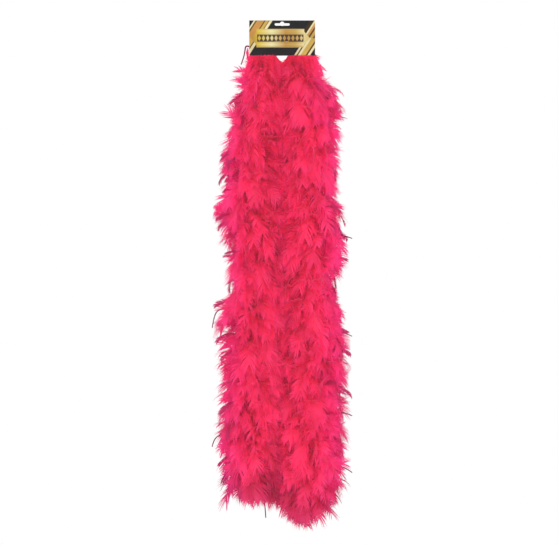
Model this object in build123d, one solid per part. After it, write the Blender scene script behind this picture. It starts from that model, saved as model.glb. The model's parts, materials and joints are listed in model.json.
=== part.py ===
from build123d import *
from math import atan2, cos, degrees, hypot, radians, sin, sqrt, tan
import os

# A feather boa folded in half and hung by its fold inside a folded header card.
#
# Frame: the origin is where a display peg bears, at the top of the card's hang slot
# and midway through the doubled board. +X runs along the card's width, -Y is the way
# the card's face looks, +Z is up. The boa's two strands hang down -Z, side by side.
#
# Each strand leaves the card on a short neck of bare cord and is then a chain of
# segments. A segment holds a length of core cord, the binding thread wound on that
# cord, and the sleeve of feathers that the thread ties on.
# All sizes are in millimetres and all angles in degrees.

# ---- header card ----
CARD_WIDTH = 125.0
CARD_TOP = 2.2
CARD_BOTTOM = -64.6
BOARD = 0.45              # thickness of the board
DOUBLED_GAP = 0.2         # between the two panels where they lie together
POUCH_DEPTH = 5.4         # between the panels where the boa's fold is held
POUCH_START = -9.0        # the back panel starts to stand off here
POUCH_FULL = -19.0        # and is parallel to the front again from here down
CARD_CORNER = 1.2

# ---- hang slot: a rounded bar with a dome over its middle ----
SLOT_WIDTH = 28.6
SLOT_HEIGHT = 7.8         # dome and bar together
SLOT_BAR = 4.6
DOME_RADIUS = 4.2

# ---- staples, one each side of the middle, inside the boa's fold ----
STAPLE_WIDTH = 11.0
STAPLE_WIRE = 0.5
STAPLE_X = 8.0
STAPLE_Z = -38.0
CLINCH = 3.6              # length of each leg's turned-in end

# ---- core cord and what is wound on it ----
CORD_RADIUS = 2.2
CORD_GAP = 0.15           # between two lengths of cord at a bend
BINDING = 0.35            # thickness of the wound thread
BINDING_INSET = 6.0       # the thread's windings stop this far from a bend
SLEEVE_CLEAR = 0.1        # between the windings and the sleeve's hub
KNOT_RADIUS = 4.4
KNOT_LENGTH = 10.0

# ---- the fold inside the card ----
FOLD_TOP = -30.0          # centre of the cord at the top of its arch
HIP_X = 29.0              # where a strand leaves the card
HIP_Z = -70.0
NECK = 12.0               # bare cord from there to where the first sleeve starts
CRUSHED_WIDTH = 5.2       # feathers pressed flat along the outside of the arch
CRUSHED_THICKNESS = 4.4
CRUSHED_END = 8.5         # they stop this far short of the hip, inside the card

# ---- strands ----
STRAND_X = 59.0           # centre of a strand where it hangs straight
SHOULDER_Z = -185.0       # the first segment slants out to here
PITCH = 120.0             # from one bend to the next
SEGMENTS = 7              # in each strand
LAST_LENGTH = {"left": 120.0, "right": 165.0}
SIDES = {"left": -1.0, "right": 1.0}

# ---- feather sleeves ----
SLEEVE_RADIUS = 58.5
SLEEVE_WALL = 2.6
BEND_CONE = 17.5          # slope of a sleeve's end, so that neighbours can bend
HIP_CONE = 40.0           # slope of the first sleeve's top, under the card's edge
HIP_RADIUS = 29.0         # radius at the foot of that slope
SHOULDER_RADIUS = 54.5    # radius of the first sleeve at its lower end
END_GAP = 1.0             # a sleeve's hub stops this far from the bend's centre
TIP_CONE = 24.0           # slope of the free end, where the feather tips close in
CORD_END_INSET = 36.0     # the cord stops this far above the lowest feather tips

# ---- sizes that follow from those above ----
pouch_back = BOARD + DOUBLED_GAP / 2 + POUCH_DEPTH - DOUBLED_GAP
fold_y = (pouch_back - BOARD - DOUBLED_GAP / 2) / 2
hub_radius = CORD_RADIUS + BINDING + SLEEVE_CLEAR
slant = degrees(atan2(STRAND_X - HIP_X, HIP_Z - SHOULDER_Z))
slant_length = hypot(STRAND_X - HIP_X, HIP_Z - SHOULDER_Z)


def face_of(points):
    """A flat face in the XZ plane from its (x, z) corners."""
    return make_face(Polyline([(x, 0, z) for x, z in points], close=True))


def turned(points):
    """A solid of revolution about Z from the (radius, height) corners of its section."""
    return revolve(face_of(points), Axis.Z, 360)


# ---------------------------------------------------------------- header card
def card_section():
    """The folded board seen from its side, as one closed outline in Y and Z."""
    near = DOUBLED_GAP / 2
    far = near + BOARD
    bend_z = CARD_TOP - far
    back = near + POUCH_DEPTH - DOUBLED_GAP
    with BuildSketch(Plane.YZ) as section:
        with BuildLine():
            Line((-far, CARD_BOTTOM), (-far, bend_z))
            ThreePointArc((-far, bend_z), (0, CARD_TOP), (far, bend_z))
            Polyline(
                (far, bend_z),
                (far, POUCH_START),
                (back + BOARD, POUCH_FULL),
                (back + BOARD, CARD_BOTTOM),
                (back, CARD_BOTTOM),
                (back, POUCH_FULL),
                (near, POUCH_START),
                (near, bend_z),
            )
            ThreePointArc((near, bend_z), (0, bend_z + near), (-near, bend_z))
            Polyline((-near, bend_z), (-near, CARD_BOTTOM), (-far, CARD_BOTTOM))
        make_face()
    return section.sketch


def slot_cutter():
    """The hang slot's prism, right through the doubled board."""
    bar_centre = -SLOT_HEIGHT + SLOT_BAR / 2
    with BuildSketch(Plane.XZ) as shape:
        with Locations((0, bar_centre)):
            SlotOverall(SLOT_WIDTH, SLOT_BAR)
        with Locations((0, -DOME_RADIUS)):
            Circle(DOME_RADIUS)
    return extrude(shape.sketch, amount=4 * BOARD, both=True)


def make_card():
    board = extrude(card_section(), amount=CARD_WIDTH / 2, both=True)
    card = board - slot_cutter()
    corners = card.edges().filter_by(Axis.Y).group_by(Axis.Z)[0]
    return fillet(corners, CARD_CORNER)


# -------------------------------------------------------------------- staples
def make_staple(x):
    """A wire staple: its crown on the card's face, its legs clinched behind."""
    face_y = -BOARD - DOUBLED_GAP / 2 - STAPLE_WIRE / 2
    rear_y = pouch_back + STAPLE_WIRE / 2
    half = STAPLE_WIDTH / 2
    route = [
        (x - half + CLINCH, rear_y, STAPLE_Z),
        (x - half, rear_y, STAPLE_Z),
        (x - half, face_y, STAPLE_Z),
        (x + half, face_y, STAPLE_Z),
        (x + half, rear_y, STAPLE_Z),
        (x + half - CLINCH, rear_y, STAPLE_Z),
    ]
    path = FilletPolyline(*route, radius=1.2 * STAPLE_WIRE)
    return sweep(Plane(path @ 0, z_dir=path % 0) * Circle(STAPLE_WIRE / 2), path)


def make_staples():
    return Compound([make_staple(-STAPLE_X), make_staple(STAPLE_X)])


# ------------------------------------------------------- the fold in the card
def fold_path(outward, short_of_hip):
    """The arch inside the card and its two legs, moved outward by a distance."""
    s, c = sin(radians(slant)), cos(radians(slant))
    # the arch's centre is on X = 0, and both legs are tangent to it
    centre_z = (HIP_X * c + (HIP_Z * s) - FOLD_TOP) / (s - 1)
    radius = FOLD_TOP - centre_z + outward
    foot = (HIP_X - short_of_hip * s + outward * c, HIP_Z + short_of_hip * c + outward * s)
    touch = (radius * c, centre_z + radius * s)
    leg_in = Line((-foot[0], fold_y, foot[1]), (-touch[0], fold_y, touch[1]))
    arch = ThreePointArc(
        (-touch[0], fold_y, touch[1]),
        (0, fold_y, centre_z + radius),
        (touch[0], fold_y, touch[1]),
    )
    leg_out = Line((touch[0], fold_y, touch[1]), (foot[0], fold_y, foot[1]))
    return Wire([leg_in, arch, leg_out]), radius


def swept(section, path):
    """A plain sweep of a flat section that is drawn around the path's start."""
    return sweep(Plane(path @ 0, x_dir=(0, 1, 0), z_dir=path % 0) * section, path)


def make_fold():
    """The cord, its windings and the feathers pressed flat beside it."""
    cord_path, radius = fold_path(0, CORD_RADIUS + CORD_GAP)
    print(f"fold: arch radius {radius:.1f} mm, cord {cord_path.length:.1f} mm")
    cord = swept(Circle(CORD_RADIUS), cord_path)
    wound_path, _ = fold_path(0, BINDING_INSET)
    wound = swept(Circle(CORD_RADIUS + BINDING), wound_path)
    binding = wound - swept(Circle(CORD_RADIUS), wound_path)
    beside = hub_radius + CRUSHED_WIDTH / 2
    crushed_path, _ = fold_path(beside, CRUSHED_END)
    crushed = swept(Rectangle(CRUSHED_THICKNESS, CRUSHED_WIDTH), crushed_path)
    return cord, binding, crushed


# --------------------------------------------- parts of a segment, hung from 0
def make_cord(length):
    """Cord from a bend's centre down; its round upper end turns in the bend."""
    r = CORD_RADIUS
    with BuildSketch(Plane.XZ) as section:
        with BuildLine():
            ThreePointArc((0, r), (r / sqrt(2), r / sqrt(2)), (r, 0))
            Polyline((r, 0), (r, -length), (0, -length), (0, r))
        make_face()
    return revolve(section.sketch, Axis.Z, 360)


def make_binding(start, end):
    """The thread wound on the cord, as a thin close-fitting tube."""
    inner, outer = CORD_RADIUS, CORD_RADIUS + BINDING
    return turned([(inner, -start), (outer, -start), (outer, -end), (inner, -end)])


def make_sleeve(floor, top, bottom, top_cone, bottom_cone):
    """A hollow sleeve of feathers from a bend down to -floor: sloping ends, plain side."""

    def end(radius, cone):
        """How far an end's slope falls or rises, outside and inside, and its hub's height."""
        slope = tan(radians(cone))
        hub = SLEEVE_WALL / cos(radians(cone))
        outside = (radius - hub_radius) * slope
        return outside, outside - SLEEVE_WALL * slope + hub, hub

    fall, inner_fall, top_hub = end(top, top_cone)
    rise, inner_rise, bottom_hub = end(bottom, bottom_cone)
    return turned([
        (hub_radius, -END_GAP),
        (top, -END_GAP - fall),
        (bottom, -floor + rise),
        (hub_radius, -floor),
        (hub_radius, -floor + bottom_hub),
        (bottom - SLEEVE_WALL, -floor + inner_rise),
        (top - SLEEVE_WALL, -END_GAP - inner_fall),
        (hub_radius, -END_GAP - top_hub),
    ])


def make_knot():
    """The knot that ends a strand's cord, hung from 0."""
    half = KNOT_LENGTH / 2
    with BuildSketch(Plane.XZ) as section:
        with BuildLine():
            Line((0, 0), (CORD_RADIUS, 0))
            ThreePointArc((CORD_RADIUS, 0), (KNOT_RADIUS, -half), (CORD_RADIUS, -KNOT_LENGTH))
            Polyline((CORD_RADIUS, -KNOT_LENGTH), (0, -KNOT_LENGTH), (0, 0))
        make_face()
    return revolve(section.sketch, Axis.Z, 360)


# ------------------------------------------------------------------- a strand
def make_first_segment():
    """Cord, windings and sleeve of the slanting segment, hung from below its neck."""
    length = slant_length - NECK
    cord = make_cord(length - CORD_RADIUS - CORD_GAP)
    binding = make_binding(BINDING_INSET, length - BINDING_INSET)
    sleeve = make_sleeve(length - END_GAP, HIP_RADIUS, SHOULDER_RADIUS, HIP_CONE, BEND_CONE)
    return cord, binding, sleeve


def make_middle_segment():
    cord = make_cord(PITCH - CORD_RADIUS - CORD_GAP)
    binding = make_binding(BINDING_INSET, PITCH - BINDING_INSET)
    sleeve = make_sleeve(PITCH - END_GAP, SLEEVE_RADIUS, SLEEVE_RADIUS, BEND_CONE, BEND_CONE)
    return cord, binding, sleeve


def make_last_segment(length):
    cord_length = length - CORD_END_INSET
    cord = make_cord(cord_length)
    binding = make_binding(BINDING_INSET, cord_length)
    sleeve = make_sleeve(length, SLEEVE_RADIUS, SLEEVE_RADIUS, BEND_CONE, TIP_CONE)
    return cord, binding, sleeve


def make_strand(side):
    """All nodes of one strand, in place."""
    sign = SIDES[side]
    nodes = {}

    def add(number, place, pieces):
        for kind, piece in zip(("cord", "binding", "feathers"), pieces):
            nodes[f"{side}_{kind}_{number}"] = place * piece

    hip = Location((sign * HIP_X, fold_y, HIP_Z), (0, -sign * slant, 0))
    nodes[f"{side}_neck_cord"] = hip * make_cord(NECK - CORD_RADIUS - CORD_GAP)
    add(1, hip * Location((0, 0, -NECK)), make_first_segment())
    x = sign * STRAND_X
    for number in range(2, SEGMENTS):
        top = SHOULDER_Z - PITCH * (number - 2)
        add(number, Location((x, fold_y, top)), make_middle_segment())
    top = SHOULDER_Z - PITCH * (SEGMENTS - 2)
    length = LAST_LENGTH[side]
    add(SEGMENTS, Location((x, fold_y, top)), make_last_segment(length))
    knot_top = top - length + CORD_END_INSET
    nodes[f"{side}_end_knot"] = Location((x, fold_y, knot_top)) * make_knot()
    return nodes


def make_boa():
    """Every node of the boa and its card, by name."""
    fold_cord, fold_binding, fold_feathers = make_fold()
    nodes = {
        "header_card": make_card(),
        "staples": make_staples(),
        "fold_cord": fold_cord,
        "fold_binding": fold_binding,
        "fold_feathers": fold_feathers,
    }
    for side in SIDES:
        nodes.update(make_strand(side))
    return nodes


os.makedirs("parts", exist_ok=True)
boa = make_boa()
for name, shape in boa.items():
    shape.label = name
    export_step(shape, f"parts/{name}.step")

for side in SIDES:
    run = slant_length + PITCH * (SEGMENTS - 2) + LAST_LENGTH[side] - CORD_END_INSET
    print(f"{side} strand: slant {slant:.2f} degrees, cord {run:.1f} mm from hip to knot")
litres = sum(shape.volume for shape in boa.values()) / 1e6
print(f"{len(boa)} nodes, {litres:.2f} litres of solid")
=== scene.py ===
import json
import math

import bpy
import numpy as np
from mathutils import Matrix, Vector


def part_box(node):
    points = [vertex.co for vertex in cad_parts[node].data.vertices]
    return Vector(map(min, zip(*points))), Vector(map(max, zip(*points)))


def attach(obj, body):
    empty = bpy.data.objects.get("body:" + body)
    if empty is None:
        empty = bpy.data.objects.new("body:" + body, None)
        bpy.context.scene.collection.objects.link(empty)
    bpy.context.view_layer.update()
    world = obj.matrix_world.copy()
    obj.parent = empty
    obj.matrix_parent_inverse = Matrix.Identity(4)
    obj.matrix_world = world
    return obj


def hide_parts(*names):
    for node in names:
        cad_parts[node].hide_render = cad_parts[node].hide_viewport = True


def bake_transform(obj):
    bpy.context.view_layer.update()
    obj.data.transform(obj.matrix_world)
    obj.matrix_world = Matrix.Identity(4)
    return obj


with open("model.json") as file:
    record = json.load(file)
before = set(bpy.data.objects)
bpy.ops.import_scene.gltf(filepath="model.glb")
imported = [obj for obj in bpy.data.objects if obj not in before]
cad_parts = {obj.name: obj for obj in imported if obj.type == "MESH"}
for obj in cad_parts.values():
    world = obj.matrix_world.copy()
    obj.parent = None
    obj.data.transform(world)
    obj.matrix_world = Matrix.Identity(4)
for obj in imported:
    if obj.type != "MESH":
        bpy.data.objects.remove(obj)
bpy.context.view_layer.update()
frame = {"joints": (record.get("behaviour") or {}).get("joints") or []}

MM = 0.001
SIDES = {"left": -1.0, "right": 1.0}
SEGMENTS = 7
rng = np.random.default_rng(72)

joints = {j["child"]: j for j in frame["joints"]}


def pivot(body):
    """Where a body is hinged to its parent, in metres."""
    return np.array(joints[body]["pos_m"], float)


hang_y = pivot("left_2")[1]    # the strands' depth
card_low, card_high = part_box("header_card")


# --------------------------------------------------------------- camera and light
PHOTO_WIDTH = 1.060       # metres across the picture at the object's plane
CAMERA_AWAY = 6.0
VIEW_X = -0.006           # the middle of the picture
VIEW_Z = -0.4767


def make_camera():
    """The photograph's view: level, from straight in front and far off."""
    data = bpy.data.cameras.new("camera")
    data.sensor_width = 36.0
    data.lens = data.sensor_width * CAMERA_AWAY / PHOTO_WIDTH
    data.clip_end = 60.0
    camera = bpy.data.objects.new("camera", data)
    camera.location = (VIEW_X, -CAMERA_AWAY, VIEW_Z)
    camera.rotation_euler = (math.radians(90), 0, 0)
    bpy.context.scene.collection.objects.link(camera)
    bpy.context.scene.camera = camera


def make_light(name, place, aim, size, power):
    """A round, soft light that faces a point."""
    data = bpy.data.lights.new(name, "AREA")
    data.shape = "DISK"
    data.size = size
    data.energy = power
    light = bpy.data.objects.new(name, data)
    light.location = place
    light.rotation_euler = (Vector(aim) - Vector(place)).to_track_quat("-Z", "Y").to_euler()
    bpy.context.scene.collection.objects.link(light)


def make_studio():
    """Soft white light all round, more from beside the camera, and a pale floor below."""
    world = bpy.data.worlds.new("studio")
    world.use_nodes = True
    background = world.node_tree.nodes["Background"]
    background.inputs["Color"].default_value = (1, 1, 1, 1)
    background.inputs["Strength"].default_value = 1.0
    bpy.context.scene.world = world
    bpy.context.scene.view_settings.view_transform = "Standard"
    make_light("key", (-1.3, -2.2, 0.9), (0, 0, -0.4), 1.2, 4.0)
    make_light("front", (0.0, -5.8, -0.47), (0, 0, -0.47), 0.3, 266.0)

    bpy.ops.mesh.primitive_circle_add(vertices=96, radius=1.4, fill_type="NGON",
                                      location=(0, 0, -1.3))
    floor = bpy.context.object
    floor.name = "floor"
    floor.data.materials.append(plain("floor_paint", (0.86, 0.86, 0.85), 0.7))


# ---------------------------------------------------------------------- materials
def plain(name, colour, roughness):
    material = bpy.data.materials.new(name)
    material.use_nodes = True
    shader = material.node_tree.nodes["Principled BSDF"]
    shader.inputs["Base Color"].default_value = (*colour, 1)
    shader.inputs["Roughness"].default_value = roughness
    return material


class Graph:
    """A material's nodes, made and joined in few words."""

    def __init__(self, name):
        self.material = bpy.data.materials.new(name)
        self.material.use_nodes = True
        self.tree = self.material.node_tree
        self.shader = self.tree.nodes["Principled BSDF"]
        self.output = self.tree.nodes["Material Output"]

    def add(self, kind, values=None, **settings):
        """A new node with these inputs and settings."""
        node = self.tree.nodes.new(kind)
        for key, value in settings.items():
            setattr(node, key, value)
        for key, value in (values or {}).items():
            self.feed(node.inputs[key], value)
        return node

    def feed(self, socket, value):
        """A number, a colour or another node's output goes into a socket."""
        if isinstance(value, bpy.types.NodeSocket):
            self.tree.links.new(value, socket)
        else:
            socket.default_value = value

    def set(self, **values):
        """The shader's own inputs, with an underscore for each space in their names."""
        for key, value in values.items():
            self.feed(self.shader.inputs[key.replace("_", " ")], value)

    def place(self, scale=(1, 1, 1)):
        """Object coordinates, stretched."""
        source = self.add("ShaderNodeTexCoord").outputs["Object"]
        return self.add("ShaderNodeMapping", {"Vector": source, "Scale": scale}).outputs[0]

    def noise(self, scale, detail=3.0, stretch=(1, 1, 1)):
        values = {"Vector": self.place(stretch), "Scale": scale, "Detail": detail}
        return self.add("ShaderNodeTexNoise", values).outputs["Fac"]

    def math(self, how, a, b=0.0):
        return self.add("ShaderNodeMath", {0: a, 1: b}, operation=how).outputs[0]

    def ramp(self, factor, stops, between="LINEAR"):
        node = self.add("ShaderNodeValToRGB", {"Fac": factor})
        node.color_ramp.interpolation = between
        while len(node.color_ramp.elements) < len(stops):
            node.color_ramp.elements.new(0.5)
        for element, (at, colour) in zip(node.color_ramp.elements, stops):
            element.position = at
            element.color = (*colour, 1)
        return node.outputs["Color"]

    def mix(self, factor, a, b, how="MIX"):
        node = self.add("ShaderNodeMix", data_type="RGBA", blend_type=how)
        for key, value in ((0, factor), (6, a), (7, b)):
            self.feed(node.inputs[key], value)
        return node.outputs[2]

    def bump(self, height, distance, strength=0.6):
        values = {"Height": height, "Distance": distance, "Strength": strength}
        self.set(Normal=self.add("ShaderNodeBump", values).outputs["Normal"])


COLOUR = "feather_colour"


def make_feather_material():
    """Dyed feather: the colour set on each barb, which holds painted shade and painted light as
    well as the dye, mottled, with a sheen, lit from both sides.
    """
    g = Graph("feather_vane")
    paint = g.add("ShaderNodeAttribute", attribute_name=COLOUR).outputs["Color"]
    mottle = g.ramp(g.noise(55, 4), [(0.3, (0.93, 0.84, 0.86)), (0.7, (1, 1, 1))])
    tint = g.mix(1.0, paint, mottle, "MULTIPLY")
    g.set(Base_Color=tint, Roughness=0.6, Specular_IOR_Level=0.15)
    g.set(Sheen_Weight=0.25, Sheen_Roughness=0.45, Sheen_Tint=(1.0, 0.45, 0.62, 1))
    g.bump(g.noise(900, 2), 0.0002, 0.25)
    through = g.add("ShaderNodeBsdfTranslucent", {"Color": tint})
    both = g.add("ShaderNodeMixShader", {"Fac": 0.6})
    g.tree.links.new(g.shader.outputs[0], both.inputs[1])
    g.tree.links.new(through.outputs[0], both.inputs[2])
    g.tree.links.new(both.outputs[0], g.output.inputs["Surface"])
    return g.material


def make_cord_material():
    """Dyed cotton: fibres along the plies, in paler and darker patches."""
    g = Graph("cotton_cord")
    fibre = g.noise(900, 4, (1, 1, 0.35))
    patches = g.noise(40, 2)
    colour = g.mix(fibre, (0.36, 0.015, 0.07, 1), (0.66, 0.05, 0.16, 1))
    colour = g.mix(1.0, colour, g.ramp(patches, [(0.3, (0.75, 0.75, 0.75)), (0.7, (1, 1, 1))]),
                   "MULTIPLY")
    g.set(Base_Color=colour, Roughness=0.85, Sheen_Weight=0.3)
    g.bump(fibre, 0.0003)
    return g.material


def make_thread_material():
    """Binding thread: a paler, smoother twist than the cord."""
    g = Graph("binding_thread")
    twist = g.noise(1500, 2, (1, 1, 0.2))
    colour = g.mix(twist, (0.55, 0.03, 0.12, 1), (0.85, 0.16, 0.3, 1))
    g.set(Base_Color=colour, Roughness=0.55, Sheen_Weight=0.2)
    g.bump(twist, 0.0001)
    return g.material


# ------------------------------------------------------------------------- meshes
def make_piece(name, points, faces, material, colours=None):
    """A smooth mesh object from points and from arrays of faces, each of one number of corners."""
    mesh = bpy.data.meshes.new(name)
    mesh.from_pydata(points.tolist(), [], [f for block in faces for f in block.tolist()])
    if colours is not None:
        layer = mesh.color_attributes.new(COLOUR, "FLOAT_COLOR", "POINT")
        layer.data.foreach_set("color", colours.astype(np.float32).ravel())
    mesh.materials.append(material)
    mesh.polygons.foreach_set("use_smooth", [True] * len(mesh.polygons))
    mesh.update()
    piece = bpy.data.objects.new(name, mesh)
    bpy.context.scene.collection.objects.link(piece)
    return piece


def unit(v):
    return v / np.linalg.norm(v, axis=-1, keepdims=True)


def lerp(a, b, t):
    return a + (b - a) * t


# ------------------------------------------------------------------- strand routes
# The right strand's cord from beside the top of the fold to its last bend, as X and Z in
# millimetres: round the arch, through the card's mouth, out to the shoulder and straight down.
STRAND = [(8.2, -30.0), (21.2, -40.0), (25.2, -55.9), (29.0, -70.0), (32.0, -81.6),
          (50.1, -151.0), (59.0, -185.0), (59.0, -219.0), (59.0, -305.0), (59.0, -425.0),
          (59.0, -545.0), (59.0, -665.0), (59.0, -785.0)]


class Route:
    """A strand's centreline, from the top of the fold to the end of its cord."""

    def __init__(self, side):
        self.sign = SIDES[side]
        knot_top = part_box(f"{side}_end_knot")[1].z
        half = [(self.sign * x * MM, hang_y, z * MM) for x, z in STRAND]
        half.append((half[-1][0], hang_y, knot_top))
        self.points = smooth_line(f"{side}_route", [(0.0, hang_y, half[0][2])] + half)
        self.along = np.concatenate([[0], np.cumsum(
            np.linalg.norm(np.diff(self.points, axis=0), axis=1))])
        self.length = float(self.along[-1])
        self.hip = self.at_height(pivot(f"{side}_neck")[2])
        self.neck = self.at_height(pivot(f"{side}_1")[2])
        joint = [pivot(f"{side}_{k}")[2] for k in range(1, SEGMENTS + 1)]
        self.middles = [self.at_height(0.5 * (a + b)) for a, b in zip(joint, joint[1:])]

    def at(self, s):
        """The points that lie distances s along the route."""
        return np.stack([np.interp(s, self.along, self.points[:, k]) for k in range(3)], -1)

    def at_height(self, z):
        """How far along the route it passes a height."""
        return float(np.interp(-z, -self.points[:, 2], self.along))

    def helix(self, s, radius, pitch, phase):
        """A line wound round the route, at distances s along it."""
        tangent = unit(self.at(s + MM) - self.at(s - MM))
        back = np.array([0.0, 1.0, 0.0])
        across = unit(np.cross(tangent, back))
        turn = (2 * np.pi * s / pitch + phase)[:, None]
        return self.at(s) + radius * (np.cos(turn) * across + np.sin(turn) * back)


def smooth_line(name, points):
    """The points down the middle of the NURBS spline with these control points."""
    data = bpy.data.curves.new(name, "CURVE")
    data.dimensions = "3D"
    data.resolution_u = 16
    spline = data.splines.new("NURBS")
    spline.points.add(len(points) - 1)
    for control, point in zip(spline.points, points):
        control.co = (*point, 1)
    spline.order_u = 3
    spline.use_endpoint_u = True
    holder = bpy.data.objects.new(name, data)
    mesh = bpy.data.meshes.new_from_object(holder)
    line = np.array([v.co for v in mesh.vertices], float).reshape(-1, 3)
    bpy.data.objects.remove(holder)
    bpy.data.curves.remove(data)
    bpy.data.meshes.remove(mesh)
    return line


SKEW = (0.31, 0.87, 0.38)  # a direction that no line here runs along


def tube(line, radius, corners, closed=False):
    """Points and faces of a round tube along a line, capped unless it is a ring."""
    tangent = np.gradient(line, axis=0)
    if closed:
        tangent = np.roll(line, -1, 0) - np.roll(line, 1, 0)
    tangent = unit(tangent)
    across = unit(np.cross(tangent, SKEW))
    other = np.cross(tangent, across)
    turn = np.linspace(0, 2 * np.pi, corners, endpoint=False)[None, :, None]
    ring = np.cos(turn) * across[:, None] + np.sin(turn) * other[:, None]
    radius = np.broadcast_to(np.asarray(radius, float).reshape(-1, 1, 1), (len(line), 1, 1))
    points = (line[:, None] + radius * ring).reshape(-1, 3)
    rows = len(line) if closed else len(line) - 1
    i, j = np.meshgrid(np.arange(rows), np.arange(corners), indexing="ij")
    nxt, side = (i + 1) % len(line), (j + 1) % corners
    quads = np.stack([i * corners + j, i * corners + side,
                      nxt * corners + side, nxt * corners + j], -1)
    faces = [quads.reshape(-1, 4)]
    if not closed:
        faces.append(np.arange(corners)[None, ::-1])
        faces.append(np.arange(corners)[None, :] + (len(line) - 1) * corners)
    return points, faces


def gather(parts):
    """Several (points, faces) joined into one."""
    points, faces, base = [], [], 0
    for p, f in parts:
        points.append(p)
        faces += [block + base for block in f]
        base += len(p)
    return np.concatenate(points), faces


# ------------------------------------------------------------------ a single feather
SHAFT_POINTS = 25         # at which a shaft's curve is worked out
SHAFT_ROWS = 6            # rings of the shaft's own mesh
SHAFT_RADIUS = 0.7 * MM   # at the root of a feather of the usual length
USUAL_LENGTH = 0.075
BARBS = 28                # on each side of the shaft
BARB_SIDES = np.array([-1.0, 1.0]).reshape(1, 2, 1)
# The vane's half width, as a share of its widest, and the angle between barb and shaft, both
# by the share of the shaft's length.
VANE_WIDTH = ([0, 0.12, 0.3, 0.6, 0.82, 0.93, 1], [0.85, 1.1, 1.05, 1.0, 0.84, 0.58, 0.3])
BARB_ANGLE = ([0, 0.3, 0.8, 1], [1.15, 1.0, 0.75, 0.42])

# The feathers' colours: near the boa's cord, redder as painted shade deep in the mass; along the
# vane, the dye; at its tips, more magenta as painted light shining through them; in the feathers
# at the boa's outer sides, more magenta as painted backlight; darker at the ends of their barbs;
# and on the quills.
DEEP = np.array([0.96, 0.056, 0.140])
BODY = np.array([0.97, 0.066, 0.180])
TIP = np.array([0.95, 0.080, 0.310])
SIDE = np.array([0.97, 0.066, 0.350])
DARK_TIP = np.array([0.55, 0.040, 0.240])
QUILL = np.array([0.40, 0.035, 0.130])


def bend_shafts(root, azimuth, lift, droop, length, twist, sweep):
    """The points of each shaft, its tangent, the way its vane spreads and the way that faces."""
    t = np.linspace(0, 1, SHAFT_POINTS)
    elevation = lift[:, None] - droop[:, None] * t ** 1.4
    heading = azimuth[:, None] + sweep[:, None] * t ** 2
    tangent = np.stack([np.cos(elevation) * np.cos(heading),
                        np.cos(elevation) * np.sin(heading), np.sin(elevation)], -1)
    pace = (length / (SHAFT_POINTS - 1))[:, None, None]
    step = 0.5 * (tangent[:, 1:] + tangent[:, :-1]) * pace
    start = np.zeros((len(length), 1, 3))
    shaft = root[:, None] + np.concatenate([start, np.cumsum(step, 1)], 1)
    level = np.stack([-np.sin(heading), np.cos(heading), np.zeros_like(heading)], -1)
    over = np.cross(tangent, level)
    turn = (twist[:, None] * (0.7 + 0.3 * t))[..., None]
    spread = np.cos(turn) * level + np.sin(turn) * over
    facing = np.cos(turn) * over - np.sin(turn) * level
    return shaft, tangent, spread, facing


def along_shaft(field, u):
    """A field that has a value at each of a shaft's points, read at shares u of its length."""
    place = np.clip(u, 0, 1) * (SHAFT_POINTS - 1)
    low = np.minimum(place.astype(int), SHAFT_POINTS - 2)
    part = (place - low)[..., None]
    row = np.arange(len(field)).reshape(-1, *[1] * (u.ndim - 1))
    return field[row, low] * (1 - part) + field[row, low + 1] * part


def skin_shafts(curves, length):
    """Points, faces and colours of the shafts, each a taper with three sides."""
    count = len(length)
    u = np.broadcast_to(np.linspace(0, 1.0, SHAFT_ROWS), (count, SHAFT_ROWS))
    middle, _, spread, facing = (along_shaft(field, u) for field in curves)
    radius = (SHAFT_RADIUS * (1 - 0.86 * u) * (length / USUAL_LENGTH)[:, None])[..., None]
    corners = [middle + radius * (np.cos(a) * spread + np.sin(a) * facing)
               for a in (0.5, 2.6, 4.7)]
    f, i, j = np.meshgrid(np.arange(count), np.arange(SHAFT_ROWS - 1), np.arange(3),
                          indexing="ij")
    base = (f * SHAFT_ROWS + i) * 3
    quads = np.stack([base + j, base + (j + 1) % 3, base + 3 + (j + 1) % 3, base + 3 + j], -1)
    # painted shade at each shaft's root, deep in the mass, turning to the quill's own colour
    # towards its tip
    colours = np.repeat(lerp(DEEP, QUILL, u[..., None]), 3, 1).reshape(-1, 3)
    return np.stack(corners, 2).reshape(-1, 3), [quads.reshape(-1, 4)], colours


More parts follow.
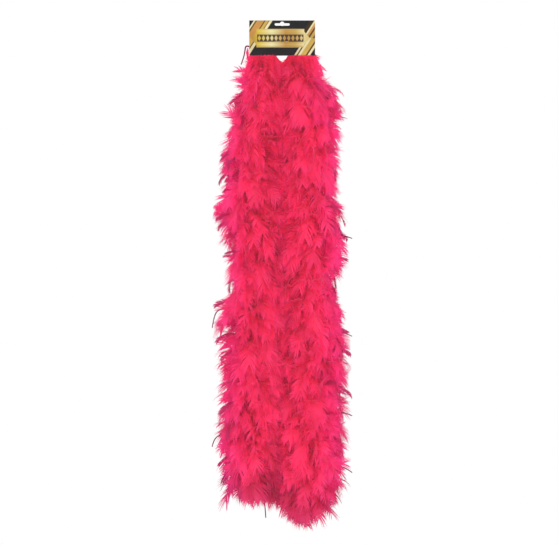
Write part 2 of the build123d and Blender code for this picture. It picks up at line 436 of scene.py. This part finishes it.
def skin_barbs(curves, length, half_width):
    """Points and faces of the barbs, and how far up its shaft each one stands.

    A barb is a flat strip with five points: two at its root, two further out and its tip.
    """
    count = len(length)
    shape = (count, 2, BARBS)
    at = np.linspace(0.04, 0.95, BARBS) + rng.uniform(-0.006, 0.006, shape)
    angle = np.interp(at, *BARB_ANGLE) + rng.normal(0, 0.05, shape)
    for _ in range(2):  # places where the vane has parted
        split = rng.uniform(0.3, 0.95, (count, 2, 1))
        gap = rng.uniform(0.02, 0.22, (count, 2, 1))
        angle -= gap * np.sign(at - split) * np.exp(-np.abs(at - split) / 0.07)
    reach = np.interp(at, *VANE_WIDTH) * half_width[:, None, None]
    reach = reach * rng.uniform(0.86, 1.1, shape)
    long = reach / np.sin(np.clip(angle, 0.55, 1.4))
    downy = np.clip((0.42 - at) / 0.2, 0, 1)
    lift_out = rng.normal(0, 1, shape) * (0.05 + 0.5 * downy)
    cup = rng.normal(-0.06, 0.2, (count, 1, 1)) + lift_out

    root, tangent, spread, facing = (along_shaft(field, at)[..., None, :] for field in curves)
    cos, sin = np.cos(angle)[..., None, None], np.sin(angle)[..., None, None]
    side = BARB_SIDES[..., None, None]
    long, cup = long[..., None, None], cup[..., None, None]
    u = np.array([0.0, 0.6, 1.0])[:, None]
    spine = root + long * ((cos * u + 0.16 * u ** 2) * tangent
                           + side * sin * (u - 0.14 * u ** 2) * spread
                           + cup * u ** 1.6 * facing)
    spine[..., 2:] -= 0.12 * long * u ** 2
    apart = (length / BARBS)[:, None, None, None, None] * sin
    taper = np.array([0.58, 0.50, 0.0])[:, None]
    edge = apart * taper * (cos * side * spread - sin * tangent)
    left, right = spine - edge, spine + edge
    points = np.stack([left[..., 0, :], right[..., 0, :], left[..., 1, :], right[..., 1, :],
                       spine[..., 2, :]], -2).reshape(-1, 3)
    k = np.arange(count * 2 * BARBS) * 5
    quads = np.stack([k, k + 1, k + 3, k + 2], -1)
    tips = np.stack([k + 2, k + 3, k + 4], -1)
    return points, [quads, tips], at


def paint_barbs(at, tone_and_shade, side_on):
    """The colour at each barb's five points: the dye, redder near the shaft as painted shade,
    bluer towards the tips as painted light through them and more magenta at the boa's outer sides
    as painted backlight, and at last darker towards the tips.
    """
    at = at[..., None, None]
    tipward = np.clip(0.25 + 0.75 * at, 0, 1) * np.array([0.45, 0.45, 0.8, 0.8, 1.0])[:, None]
    shade = np.clip(at / 0.4, 0, 1)
    edge_on = np.clip(side_on, 0, 1)[:, None, None, None, None]
    # painted shade: redder near the shaft, deep in the mass; painted light: more magenta towards
    # the tips, as if lit through them
    colour = lerp(lerp(DEEP, BODY, shade), TIP, tipward ** 2)
    # painted backlight: more magenta in the feathers at the boa's outer sides
    colour = lerp(colour, SIDE, 0.7 * edge_on)
    ends = np.clip((tipward - lerp(0.80, 0.70, edge_on)) / 0.18, 0, 1)
    colour = lerp(colour, DARK_TIP, (0.12 + 0.63 * edge_on) * ends)
    # the feather's tone, which holds painted shade towards the cord's end, and a little random
    # tone a barb
    colour = colour * tone_and_shade[:, None, None, None, None] * rng.uniform(0.95, 1.04, at.shape)
    return colour.reshape(-1, 3)


def lay_flat(at):
    """Places on the map: each feather has a square of it to itself, spread out flat."""
    count = len(at)
    grid = math.ceil(math.sqrt(count))
    cell = np.stack([np.arange(count) % grid, np.arange(count) // grid], -1)[:, None, None]
    row = np.linspace(0.04, 0.96, SHAFT_ROWS)
    on_shaft = np.stack(np.broadcast_arrays(np.array([0.49, 0.5, 0.51]), row[:, None]), -1)
    out = BARB_SIDES[..., None] * (0.02 + 0.45 * np.array([0, 0, 0.6, 0.6, 1.0])) + 0.5
    up = 0.04 + 0.92 * at[..., None] + 0.4 / BARBS * np.array([-1, 1, -0.8, 0.8, 0])
    on_barb = np.stack(np.broadcast_arrays(out, up), -1)
    parts = [cell + on_shaft, cell[:, None] + on_barb]
    return np.concatenate([part.reshape(-1, 2) for part in parts]) / grid


def feather_block(root, azimuth, lift, droop, length, half_width, twist, sweep, tone_and_shade, side_on):
    """Points, faces, colours and map of many feathers; every argument has one value a feather.

    A feather leaves its root at an azimuth about the vertical and an elevation lift, and turns
    down by droop towards its tip. half_width is that of its vane, twist turns the vane about the
    shaft, and sweep bends the feather sideways. side_on is 1 for a feather at the boa's outer
    side, which is painted more magenta as painted backlight and whose barbs end darker.
    """
    curves = bend_shafts(root, azimuth, lift, droop, length, twist, sweep)
    shaft_points, shaft_faces, shaft_colours = skin_shafts(curves, length)
    barb_points, barb_faces, at = skin_barbs(curves, length, half_width)
    points, faces = gather([(shaft_points, shaft_faces), (barb_points, barb_faces)])
    dye_and_painted_light = np.concatenate([shaft_colours, paint_barbs(at, tone_and_shade, side_on)])
    colours = np.concatenate([np.clip(dye_and_painted_light, 0, 1), np.ones((len(dye_and_painted_light), 1))], 1)
    return points, faces, colours, lay_flat(at)


# ------------------------------------------------------------- the boa's feathers
# How far the mass of fluff stands out from the cord down each strand's outer side: metres
# below the card's top edge, and millimetres of reach on the left and on the right strand.
OUTER_REACH = np.array([
    (0.070, 30, 26), (0.090, 38, 32), (0.118, 44, 58), (0.141, 44, 70), (0.165, 39, 62),
    (0.190, 37, 42), (0.217, 38, 43), (0.262, 52, 41), (0.300, 46, 35), (0.322, 42, 39),
    (0.345, 58, 42), (0.370, 66, 60), (0.395, 66, 47), (0.420, 42, 54), (0.440, 36, 54),
    (0.475, 41, 50), (0.505, 33, 45), (0.525, 38, 42), (0.540, 58, 48), (0.553, 58, 60),
    (0.580, 66, 50), (0.600, 66, 64), (0.630, 58, 60), (0.690, 54, 64), (0.720, 57, 56),
    (0.780, 59, 56), (0.800, 66, 54), (0.830, 56, 54), (0.870, 50, 59), (0.915, 60, 50),
    (0.935, 60, 42), (0.960, 44, 20), (1.000, 44, 14)])
# How far below the cord's end the fluff reaches, by the distance outward from the cord.
END_REACH_AT = [-62, -50, -15, 9, 32, 50]
END_REACH = {-1: [44, 50, 51, 51, 52, 54], 1: [18, 40, 54, 38, 30, 12]}
# How far it stands out between the strands, and in front and behind.
INNER_REACH_AT = [0.066, 0.085, 0.12, 0.16, 0.2, 1.0]
INNER_REACH = [16, 34, 48, 60, 70, 70]
FRONT_REACH = [14, 26, 42, 52, 55, 55]


def reach_of(z, azimuth, sign):
    """How far feathers at a height reach in a direction, in metres."""
    outward = sign * np.cos(azimuth)
    outer = np.interp(-z, OUTER_REACH[:, 0], OUTER_REACH[:, 1 if sign < 0 else 2])
    inner = np.interp(-z, INNER_REACH_AT, INNER_REACH)
    front = np.interp(-z, INNER_REACH_AT, FRONT_REACH)
    aside = np.where(outward > 0, outer, inner)
    return MM * lerp(front, aside, outward ** 2)


MOUTH_Z = card_low.z
FOLD_TOP_Z = -22 * MM
BETWEEN_PANELS = (0.3 * MM, 4.9 * MM)
NOTCH_WIDTH = 12.5 * MM            # half of the gap's width at the card's lower edge
NOTCH_DEPTH = 15 * MM
LAST_REACH = (75 * MM, 68 * MM)    # how far the longest barb stands out, aside and in front
REIN_IN = 9 * MM                   # and how far within that the outline begins to be held
EASE = 4 * MM                      # over which the tops are rounded off below the card

FEATHERS_PER_METRE = 2500
MOUTH_FEATHERS = 110
PRESSED_FEATHERS = 40
END_TUFT = 60                      # more feathers, tied in over the last stretch
END_TUFT_LENGTH = 14 * MM
GOLDEN_ANGLE = 2.39996             # turned through from each feather to the next
SHORT_SHARE = 0.33                 # of the feathers are under-fluff
STRAY_SHARE = 0.08                 # of those at the sides stand out, narrow and darker
STRAY_REACH = 0.080
SHORTEST, LONGEST = 0.020, 0.086


def keep_notch(points, sign):
    """The gap that the fold leaves below the card's middle stays open."""
    notch = NOTCH_WIDTH * (1 - np.maximum(MOUTH_Z - points[:, 2], 0) / NOTCH_DEPTH)
    inside = (sign * points[:, 0] < notch) & (notch > 0) & (points[:, 2] < MOUTH_Z + 10 * MM)
    points[inside, 0] = sign * notch[inside]


def trim(points, route):
    """Feathers stay within the boa's outline, and slope away below the card's lower edge."""
    axis = np.stack([np.interp(-points[:, 2], -route.points[:, 2], route.points[:, 0]),
                     np.full(len(points), hang_y)], -1)
    out = points[:, :2] - axis
    far = np.linalg.norm(out, axis=1)
    aside, front = LAST_REACH
    free = front + (aside - front) * (out[:, 0] / far) ** 2 - REIN_IN
    held = free + REIN_IN * np.tanh((far - free) / REIN_IN)
    points[:, :2] = axis + out * np.where(far > free, held / far, 1)[:, None]
    shoulder = MOUTH_Z - 2 * MM - 0.5 * np.abs(points[:, 1] - hang_y)
    points[:, 2] = shoulder - EASE * np.logaddexp(0, (shoulder - points[:, 2]) / EASE)
    keep_notch(points, route.sign)


def grow_fluff(route, start, end, first_turn):
    """The feathers tied on between two distances along a strand."""
    count = int((end - start) * FEATHERS_PER_METRE)
    s = np.linspace(start, end, count, endpoint=False)
    s = s + rng.uniform(0, 1 / FEATHERS_PER_METRE, count)
    if end == route.length:
        s = np.concatenate([s, route.length - rng.uniform(0, END_TUFT_LENGTH, END_TUFT)])
    s = np.minimum(s, route.length)
    count = len(s)
    near_card = np.clip((0.075 - (s - route.hip)) / 0.06, 0, 1)    # 1 at the card, 0 far off
    near_end = np.clip((s - (route.length - 0.05)) / 0.05, 0, 1)   # 1 at the cord's end

    # the way each one points: round and round the cord, with more to fill between the strands
    azimuth = first_turn + np.arange(count) * GOLDEN_ANGLE + rng.normal(0, 0.25, count)
    inward = np.pi if route.sign > 0 else 0.0
    turned_in = rng.uniform(0, 1, count) < 0.2 + 0.3 * near_end
    azimuth = np.where(turned_in, inward + rng.normal(0, 0.5, count), azimuth)
    side_on = route.sign * np.cos(azimuth)
    kind = rng.uniform(0, 1, count)
    short, stray = kind < SHORT_SHARE, (kind > 1 - STRAY_SHARE) & (side_on > 0.6)
    lift = rng.normal(0.25, 0.38, count) - 1.1 * near_card - 0.35 * near_end
    droop = rng.normal(1.15, 0.35, count) * (1 - 0.35 * near_card)

    # its length, from how far the fluff reaches there and how far below the cord's end
    root = route.at(s)
    hang = lift - 0.42 * droop
    tip_z = root[:, 2] + 0.055 * np.sin(hang)
    reach = reach_of(tip_z, azimuth, route.sign) * rng.uniform(0.84, 1.14, count)
    reach = np.where(short, 0.74 * reach, reach)
    reach = np.where(stray, np.minimum(reach * 1.4, STRAY_REACH), reach)
    flatness = np.maximum(np.cos(np.clip(hang, -1.25, 1.3)), 0.62)
    length = np.clip(reach / flatness, SHORTEST, LONGEST)
    tip_out = side_on * length * np.cos(hang) / MM
    floor = route.points[-1][2] - MM * np.interp(tip_out, END_REACH_AT, END_REACH[route.sign])
    drop = (root[:, 2] - floor) * rng.uniform(0.85, 1.1, count) - 10 * MM
    length = np.clip(drop / np.maximum(np.sin(-hang), 0.1), 0.022, length)

    half_width = 0.0178 * np.clip(length / 0.065, 0.5, 1.15) * rng.uniform(0.8, 1.15, count)
    half_width = np.where(stray, 0.35 * half_width, half_width)
    twist = rng.normal(0, 0.8, count)
    sweep = rng.normal(0, 0.25, count) * np.where(stray, 3, 1)
    # Each feather's tone is random and 0.6 for strays; painted shade makes it darker over the last
    # 50 mm to the cord's end.
    tone_and_shade = rng.uniform(0.95, 1.03, count) * np.where(stray, 0.6, 1) * (1 - 0.27 * near_end)
    outward = np.stack([np.cos(azimuth), np.sin(azimuth), np.zeros(count)], -1)
    block = feather_block(root + 1.2 * MM * outward, azimuth, lift, droop, length, half_width,
                          twist, sweep, tone_and_shade, side_on)
    trim(block[0], route)
    return block


def grow_mouth(route):
    """Feathers that leave the card's mouth beside the cord and spread out below it."""
    count = MOUTH_FEATHERS
    aside = np.linspace(11, 56, count) * MM + rng.normal(0, 1.5 * MM, count)
    root = np.stack([route.sign * aside, rng.uniform(0.8, 4.4, count) * MM,
                     rng.uniform(-62, -52, count) * MM], -1)
    out = (aside / MM - 30) / 22 + rng.normal(0, 0.2, count)
    azimuth = np.arctan2(rng.normal(0, 0.75, count), route.sign * out)
    lift = rng.normal(-1.42, 0.08, count)
    droop = -rng.uniform(0.35, 0.85, count) * np.where(out > 0.75, 0.45, 1)
    length = rng.uniform(0.040, 0.066, count)
    half_width = rng.uniform(0.010, 0.014, count)
    flat = np.full(count, np.pi / 2) + rng.normal(0, 0.3, count)
    # The last argument sets the mouth feathers' painted backlight, more magenta the further out
    # they lie.
    return feather_block(root, azimuth, lift, droop, length, half_width, flat,
                         rng.normal(0, 0.2, count), rng.uniform(0.93, 1.03, count), out - 0.6)


def grow_pressed(route):
    """Feathers lying flat along the fold, between the card's two panels."""
    count = PRESSED_FEATHERS
    s = np.linspace(0.004, route.hip - 0.01, count)
    azimuth = np.where(rng.uniform(0, 1, count) < 0.6, 0.0, np.pi)
    azimuth = azimuth + (0.0 if route.sign > 0 else np.pi)
    return feather_block(route.at(s), azimuth, rng.uniform(-1.3, -0.2, count),
                         rng.uniform(0.1, 0.6, count), rng.uniform(0.026, 0.034, count),
                         rng.uniform(0.008, 0.011, count), np.full(count, np.pi / 2),
                         rng.normal(0, 0.1, count), rng.uniform(0.9, 1.0, count), np.zeros(count))


def press_in_card(points, sign):
    """Points above the card's mouth are pressed between its panels; those below spread out."""
    inside = points[:, 2] > MOUTH_Z
    spread = 1.3 * np.maximum(MOUTH_Z - points[:, 2], 0)
    front, back = BETWEEN_PANELS
    points[:, 1] = np.clip(points[:, 1], front - spread, back + spread)
    points[inside, 0] = np.clip(points[inside, 0], card_low.x + 2 * MM, card_high.x - 2 * MM)
    points[inside, 2] = np.minimum(points[inside, 2], FOLD_TOP_Z)
    keep_notch(points, sign)


def make_fluff(side, route, material):
    """The strand's feathers in pieces that meet in the middle of its segments."""
    cuts = [route.neck] + route.middles + [route.length]
    for k, (start, end) in enumerate(zip(cuts, cuts[1:])):
        block = grow_fluff(route, start, end, 1.7 * k + route.sign)
        name = f"{side}_fluff_{k}_{k + 1}" if k else f"{side}_fluff_1"
        piece = feather_piece(name, block, material)
        if k == 0:
            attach(piece, f"{side}_1")
            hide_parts(f"{side}_feathers_1")
        else:
            bend_at(piece)
            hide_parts(f"{side}_feathers_{k + 1}")
    for place, block in (("mouth", grow_mouth(route)), ("pressed", grow_pressed(route))):
        press_in_card(block[0], route.sign)
        piece = feather_piece(f"{side}_{place}_feathers", block, material)
        if place == "mouth":
            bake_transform(piece)
        else:
            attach(piece, "card")
        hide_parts("fold_feathers")


def feather_piece(name, block, material):
    """A block of feathers as one painted and mapped piece."""
    points, faces, colours, layout = block
    piece = make_piece(name, points, faces, material, colours)
    mesh = piece.data
    corner = np.empty(len(mesh.loops), np.int32)
    mesh.loops.foreach_get("vertex_index", corner)
    layer = mesh.uv_layers.new(name="OFBake")
    layer.data.foreach_set("uv", layout[corner].astype(np.float32).ravel())
    return piece


def bend_at(piece):
    """The piece's placing is baked into its points; it is tied to no body."""
    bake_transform(piece)


# ------------------------------------------------------------ cord, thread and knots
PLY = 1.1 * MM            # radius of each of the cord's two plies
PLY_OUT = 1.07 * MM       # from the cord's middle to the middle of each
LAY = 9 * MM              # length of one turn of the plies
CORD_WIDTH = 4.4 * MM
THREAD = 0.26 * MM        # radius
THREAD_OUT = CORD_WIDTH / 2 + 0.2 * MM
WINDING = 3.1 * MM        # from one turn of the thread to the next


def two_ply(route, start, end):
    """Two plies laid round each other."""
    s = np.linspace(start, end, max(4, round((end - start) / (1.2 * MM))))
    return gather([tube(route.helix(s, PLY_OUT, LAY, ply), PLY, 8) for ply in (0, np.pi)])


def winding(route, start, end):
    """The thread, wound on over the quills."""
    s = np.linspace(start, end, max(4, round((end - start) / WINDING * 12)))
    phase = np.pi if route.sign < 0 else 0.0
    return tube(route.helix(s, THREAD_OUT, WINDING, phase), THREAD, 5)


def make_cord_and_thread(side, route, cotton, thread):
    """The strand's half of the cord and of its thread, cut where the feathers are."""
    cuts = [0, route.hip - 0.012, 0.5 * (route.hip + route.neck)] + route.middles + [route.length]
    names = ["fold", "hip", "1"] + [f"{k}_{k + 1}" for k in range(1, SEGMENTS)]
    hip_piece = None
    for k, (name, start, end) in enumerate(zip(names, cuts, cuts[1:])):
        last = k == len(names) - 1
        cord = make_piece(f"{side}_twisted_cord_{name}", *two_ply(route, start, end), cotton)
        stop = end - 6 * MM if last else end
        wound = make_piece(f"{side}_thread_{name}", *winding(route, start, stop), thread)
        for piece in (cord, wound):
            if name == "fold":
                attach(piece, "card")
            elif name == "hip":
                bend_at(piece)
            elif name == "1":
                bend_at(piece)
            else:
                bend_at(piece)
        if name == "fold":
            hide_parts("fold_cord")
            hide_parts("fold_binding")
            continue
        if name == "hip":
            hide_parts(f"{side}_neck_cord")
            hip_piece = cord
            continue
        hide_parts(f"{side}_cord_{name[-1]}")
        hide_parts(f"{side}_binding_{name[-1]}")
        pieces = [hip_piece] if name == "1" else []
        if last:
            pieces = [make_knot(side, cotton)]
        path = route.at(np.linspace(start, end, 40))


def make_knot(side, cotton):
    """An overhand knot in the cord's end, with the cut fibres below it."""
    low, high = (np.array(corner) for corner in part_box(f"{side}_end_knot"))
    middle = 0.5 * (low + high)
    t = np.linspace(0, 2 * np.pi, 72, endpoint=False)
    loop = np.stack([np.sin(t) + 2 * np.sin(2 * t), np.cos(t) - 2 * np.cos(2 * t),
                     -1.9 * np.sin(3 * t)], -1) * 0.95 * MM
    parts = [tube(middle + loop, 1.55 * MM, 9, closed=True)]
    drop = np.linspace(0, 1, 6)[:, None]
    down = np.array([0, 0, -1])
    for k in range(16):
        turn = 2.4 * k
        out = np.array([np.cos(turn), np.sin(turn), 0]) * rng.uniform(0.4, 1.8) * MM
        fibre = middle + out * (1 + drop ** 2) + down * (3 + 5 * drop) * MM
        parts.append(tube(fibre, 0.32 * MM * (1.05 - drop[:, 0]), 4))
    knot = make_piece(f"{side}_knot", *gather(parts), cotton)
    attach(knot, f"{side}_{SEGMENTS}")
    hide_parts(f"{side}_end_knot")
    return knot


# Bare quills that stand out of the boa: the body each rides on, its thickness at root and tip
# and X and Z along it, all in millimetres. The first is caught in the card's left edge, bent
# over and hanging outside it.
QUILLS = [("card", 3.2, 2.2, [(-58, -49), (-64, -46.5), (-69.5, -46.5), (-70.8, -56),
                              (-73, -68), (-78, -81.5)]),
          ("left_5", 2.6, 1.8, [(-96, -540), (-122, -546), (-130, -562), (-133, -582)]),
          ("left_7", 2.8, 1.8, [(-92, -774), (-116, -784), (-130, -793), (-133, -808)]),
          ("left_7", 2.8, 2.0, [(-36, -880), (-34, -905), (-31, -943)]),
          ("right_3", 2.8, 2.0, [(84, -400), (110, -403), (133, -412)]),
          ("right_5", 2.6, 1.8, [(88, -582), (112, -588), (133, -598)]),
          ("right_6", 2.8, 2.0, [(90, -738), (114, -741), (133, -749)]),
          ("right_7", 2.8, 2.0, [(92, -838), (118, -845), (133, -857)])]


def make_strays(material):
    """Bare quills that stand out, and wisps of fluff beside the first of them."""
    for k, (body, root, tip, places) in enumerate(QUILLS):
        line = smooth_line("quill_line", [(x * MM, hang_y, z * MM) for x, z in places])
        points, faces = tube(line, 0.5 * np.linspace(root, tip, len(line)) * MM, 6)
        colours = np.tile([*QUILL * 0.7, 1], (len(points), 1))
        quill = make_piece(f"stray_quill_{k + 1}", points, faces, material, colours)
        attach(quill, body)
    wisps = 4
    t = np.linspace(0, 1, wisps)
    flat, one = np.zeros(wisps), np.ones(wisps)
    root = np.stack([-64 - 0.8 * t, 2 + t, -72 - 2 * t], -1) * MM
    # The wisps take the full painted backlight of the boa's outer side.
    block = feather_block(root, np.pi * one, 1.5 - 0.1 * t, flat, (22 - 5 * t) * MM,
                          2.2 * MM * one, 1.4 * one, flat, 0.95 * one, one)
    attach(feather_piece("stray_wisps", block, material), "card")


# ------------------------------------------------------------------ the printed card
# Stripes across the card at one slant, above and below its middle line, by their place along
# its top edge in millimetres. Each stripe runs up to the next, in the colour named.
SLANT = 0.65
STRIPES_FROM, STRIPES_TO = -70.0, 110.0
UPPER_STRIPES = [(-70, "black"), (-55.5, "cream"), (-52, "bronze"), (-49.5, "amber"),
                 (-35, "bronze"), (-33, "gold"), (-27, "bronze"), (-25, "cream"), (-20, "black"),
                 (52, "umber"), (59.5, "cream"), (63, "amber"), (68, "bronze"), (71.5, "gold"),
                 (78, "bronze")]
LOWER_STRIPES = [(-70, "gold"), (-30, "bronze"), (-28, "cream"), (-22, "black"), (64, "cream"),
                 (68, "bronze"), (71, "cream"), (76, "gold"), (86, "bronze"), (89.5, "cream"),
                 (94.5, "black")]
LIGHT_ON_CARD = 2.1       # how much brighter than its own colour the studio makes the card
# The plaque's middle, left of the card's and below its top edge, and the band of lozenges on
# it, all in millimetres.
PLAQUE_X, PLAQUE_Z = 3.5, 31.5
BAND_HALF_HEIGHT = 6.9
LOZENGES = 11
LOZENGE_PITCH = 8.0
LOZENGE_HALF_WIDTH, LOZENGE_HALF_HEIGHT = 3.2, 5.5


def ink(red, green, blue):
    """A printed colour, from how it looks under the studio's light, as 0 to 255."""
    return tuple((c / 255) ** 2.2 / LIGHT_ON_CARD for c in (red, green, blue))


INKS = {"black": ink(34, 32, 36), "umber": ink(64, 47, 24), "bronze": ink(96, 70, 34),
        "amber": ink(219, 160, 84), "gold": ink(222, 184, 92), "cream": ink(252, 240, 190),
        "board": ink(206, 200, 188)}


def make_card_material():
    """Coated board: the print outside, bare board inside and at the cut edges."""
    g = Graph("printed_board")
    m = g.math
    place = g.add("ShaderNodeSeparateXYZ",
                  {"Vector": g.add("ShaderNodeTexCoord").outputs["Object"]}).outputs
    x, y, z = (m("MULTIPLY", place[k], 1000.0) for k in range(3))
    facing = g.add("ShaderNodeSeparateXYZ",
                   {"Vector": g.add("ShaderNodeNewGeometry").outputs["True Normal"]}).outputs["Y"]
    front = m("MULTIPLY", m("LESS_THAN", facing, -0.7), m("LESS_THAN", y, -0.4))
    back = m("MULTIPLY", m("GREATER_THAN", facing, 0.3), m("GREATER_THAN", y, 0.5))

    slanted = m("SUBTRACT", x, m("MULTIPLY", z, SLANT))

    def stripes(table):
        span = STRIPES_TO - STRIPES_FROM
        factor = m("DIVIDE", m("SUBTRACT", slanted, STRIPES_FROM), span)
        stops = [((at - STRIPES_FROM) / span, INKS[name]) for at, name in table]
        return g.ramp(factor, stops, "CONSTANT")

    upper = m("GREATER_THAN", z, -PLAQUE_Z)
    art = g.mix(upper, stripes(LOWER_STRIPES), stripes(UPPER_STRIPES))
    glow = g.ramp(g.noise(22, 1, (1, 1, 2)),
                  [(0.35, (0.86, 0.83, 0.78)), (0.65, (1.06, 1.06, 1.05))])
    art = g.mix(1.0, art, glow, "MULTIPLY")

    # the plaque, pointed at both ends, in gold print, with lighter and darker bands across and
    # down it as painted highlights
    from_middle = m("ABSOLUTE", m("ADD", x, PLAQUE_X))
    from_line = m("ABSOLUTE", m("ADD", z, PLAQUE_Z))
    body = m("MULTIPLY", m("LESS_THAN", from_middle, 45.5), m("LESS_THAN", from_line, 17.5))
    point = m("LESS_THAN", m("ADD", m("MULTIPLY", from_line, 0.85), from_middle), 56.0)
    point = m("MULTIPLY", point, m("LESS_THAN", from_line, 11.5))
    plaque = m("MAXIMUM", body, point)
    across = m("DIVIDE", m("ADD", x, 62.5), 125.0)
    # painted highlight: the gold lighter and darker from left to right
    sweep = g.ramp(across, [(0.04, ink(206, 164, 70)), (0.16, ink(240, 215, 96)),
                            (0.34, ink(254, 250, 200)), (0.55, ink(206, 160, 84)),
                            (0.70, ink(214, 180, 104)), (0.84, ink(252, 240, 185)),
                            (0.95, ink(240, 216, 140))])
    down = m("DIVIDE", m("SUBTRACT", 0.0, z), 65.0)
    # painted highlight: lighter and darker bands from the plaque's top to its bottom
    bands = g.ramp(down, [(0.22, (0.80, 0.70, 0.48)), (0.27, (1.05, 1.02, 0.92)),
                          (0.34, (0.92, 0.86, 0.66)), (0.60, (0.86, 0.78, 0.60)),
                          (0.68, (1.05, 1.02, 0.95)), (0.75, (0.66, 0.54, 0.34))])
    gold = g.mix(1.0, sweep, bands, "MULTIPLY")

    # a dark band along the plaque, with a row of lozenges left gold in it
    along = m("DIVIDE", m("ADD", x, PLAQUE_X), LOZENGE_PITCH)
    step = m("SUBTRACT", m("FRACT", m("ADD", along, LOZENGES + 0.5)), 0.5)
    band = m("MULTIPLY", m("LESS_THAN", from_line, BAND_HALF_HEIGHT),
             m("LESS_THAN", from_middle, LOZENGES * LOZENGE_PITCH / 2))
    beside = m("MULTIPLY", m("ABSOLUTE", step), LOZENGE_PITCH / LOZENGE_HALF_WIDTH)
    lozenge = m("ADD", beside, m("DIVIDE", from_line, LOZENGE_HALF_HEIGHT))
    shape = m("MULTIPLY", band, m("GREATER_THAN", lozenge, 1.0))
    gold = g.mix(m("MULTIPLY", shape, 0.95), gold, (*ink(76, 54, 46), 1))
    rim = m("MULTIPLY", m("GREATER_THAN", from_line, 16.6), body)
    gold = g.mix(rim, gold, (*ink(232, 204, 120), 1))

    printed = g.mix(plaque, art, gold)
    wear = g.noise(260, 5)
    worn = g.mix(m("MULTIPLY", wear, 0.02), printed, (*INKS["board"], 1))
    fibre = g.noise(1400, 4, (1, 1, 0.4))
    bare = g.mix(fibre, (*ink(190, 184, 172), 1), (*ink(216, 211, 200), 1))
    colour = g.mix(front, bare, worn)
    dull = g.mix(m("MULTIPLY", wear, 0.03), (*INKS["black"], 1), (*INKS["board"], 1))
    colour = g.mix(back, colour, dull)
    rough = m("ADD", 0.42, m("MULTIPLY", g.noise(60, 3), 0.14))
    g.set(Base_Color=colour, Roughness=rough, Specular_IOR_Level=0.06)
    g.bump(fibre, 0.00005, 0.3)
    return g.material


def make_steel():
    """Drawn steel wire with a bronze wash, brushed along its length and dulled in patches."""
    g = Graph("brushed_wire")
    lines = g.noise(3000, 2, (0.05, 1, 1))
    colour = g.mix(lines, (0.24, 0.17, 0.08, 1), (0.38, 0.28, 0.14, 1))
    rough = g.math("ADD", 0.22, g.math("MULTIPLY", g.noise(500, 3), 0.2))
    g.set(Base_Color=colour, Roughness=rough, Metallic=1.0)
    g.bump(lines, 0.00003, 0.4)
    return g.material


def dress(node, material):
    """A CAD part's own slots take a new material."""
    for slot in bpy.data.objects[node].material_slots:
        slot.material = material


make_camera()
make_studio()
feather = make_feather_material()
cotton = make_cord_material()
thread = make_thread_material()
for side in SIDES:
    route = Route(side)
    make_cord_and_thread(side, route, cotton, thread)
    make_fluff(side, route, feather)
make_strays(feather)
dress("header_card", make_card_material())
dress("staples", make_steel())
